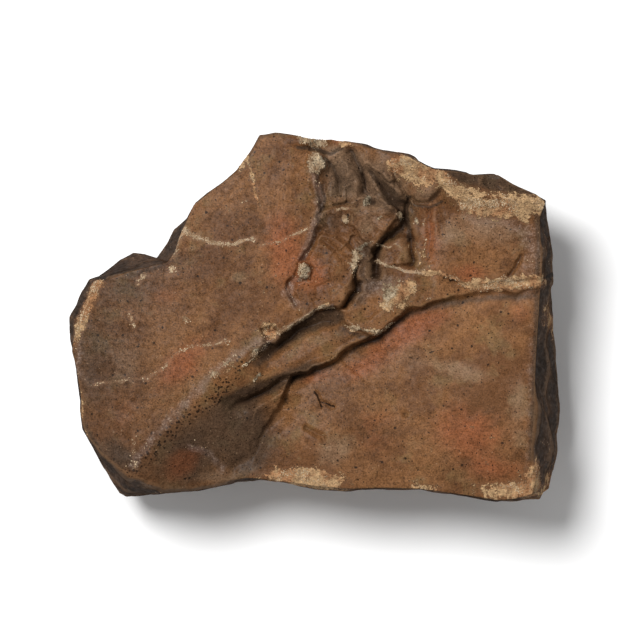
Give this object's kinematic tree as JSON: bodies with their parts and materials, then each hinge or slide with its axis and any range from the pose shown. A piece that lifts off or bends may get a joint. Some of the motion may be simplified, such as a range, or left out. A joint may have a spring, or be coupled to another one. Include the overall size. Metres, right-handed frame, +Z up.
{
  "type": "meteorite",
  "caption": "Whole stony meteorite lying flat: smooth slab, stepped broken middle, flat lower face, pale crust along the ridge and split, dark steep walls",
  "frame": {"origin": "centre of the footprint box, on the surface the stone rests on", "axes": "+X along the longest side toward the split right wall, +Y toward the pale ridge, +Z up"},
  "size_m": [0.1638, 0.1224, 0.0635],
  "materials": {
    "rock": "satin desert varnish over weathered brown rock"
  },
  "bodies": {
    "root": {"meteorite": "rock"}
  },
  "joints": []
}
